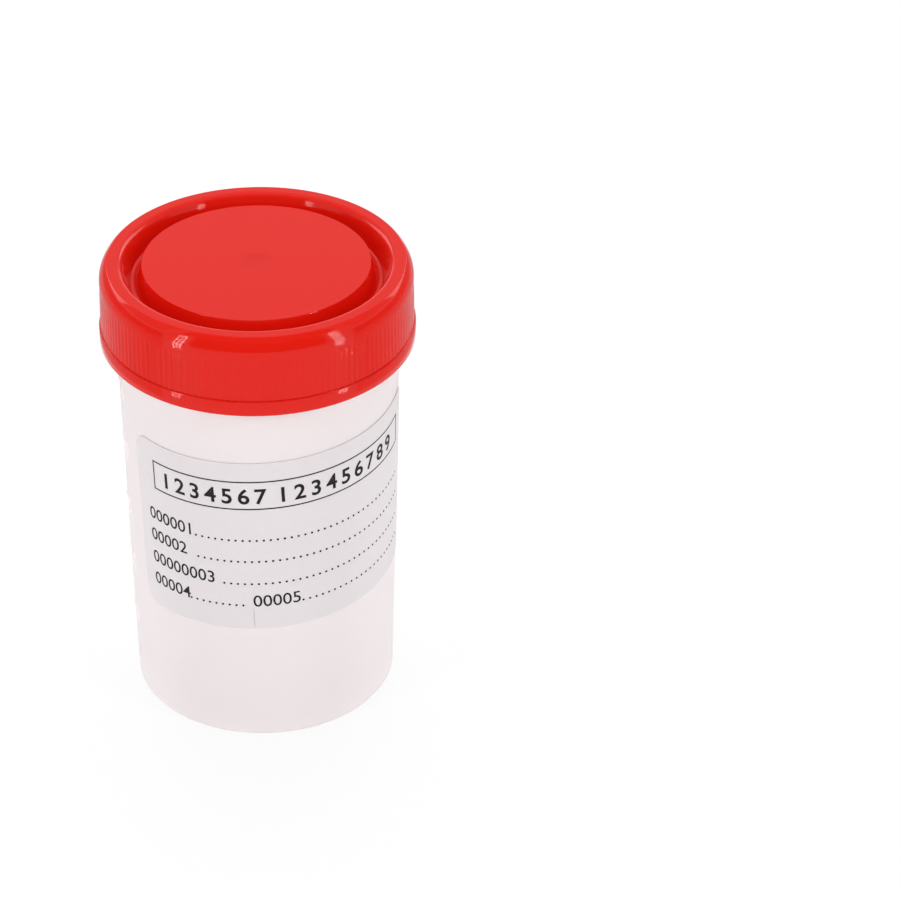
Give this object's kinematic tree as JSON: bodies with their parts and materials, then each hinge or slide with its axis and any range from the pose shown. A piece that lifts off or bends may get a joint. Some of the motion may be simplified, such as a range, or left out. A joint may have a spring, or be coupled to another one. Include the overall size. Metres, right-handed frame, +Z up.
{
  "type": "specimen container",
  "caption": "Tapered translucent cup with a threaded neck, a ribbed red screw cap with a plug seal, raised volume marks and a wrap-on writing label, for collecting a liquid specimen.",
  "frame": {"origin": "centre of the foot's rest plane, on the container's axis", "axes": "+Z up along the axis towards the cap; the middle of the writing label faces -Y; +X to the right seen from the label's side"},
  "size_m": [0.0438, 0.0438, 0.068],
  "materials": {
    "natural_polypropylene": "translucent moulded polypropylene, satin",
    "red_polypropylene": "pigmented moulded polypropylene, satin gloss",
    "label_paper": "coated adhesive label, black print"
  },
  "bodies": {
    "vessel": {"cup": "natural_polypropylene", "label": "label_paper"},
    "closure": {"screw_cap": "red_polypropylene"}
  },
  "joints": [
    {"name": "cap_lift", "type": "slide", "parent": "vessel", "child": "closure", "axis": [0, 0, 1], "range_m": [0, 0.03]}
  ]
}
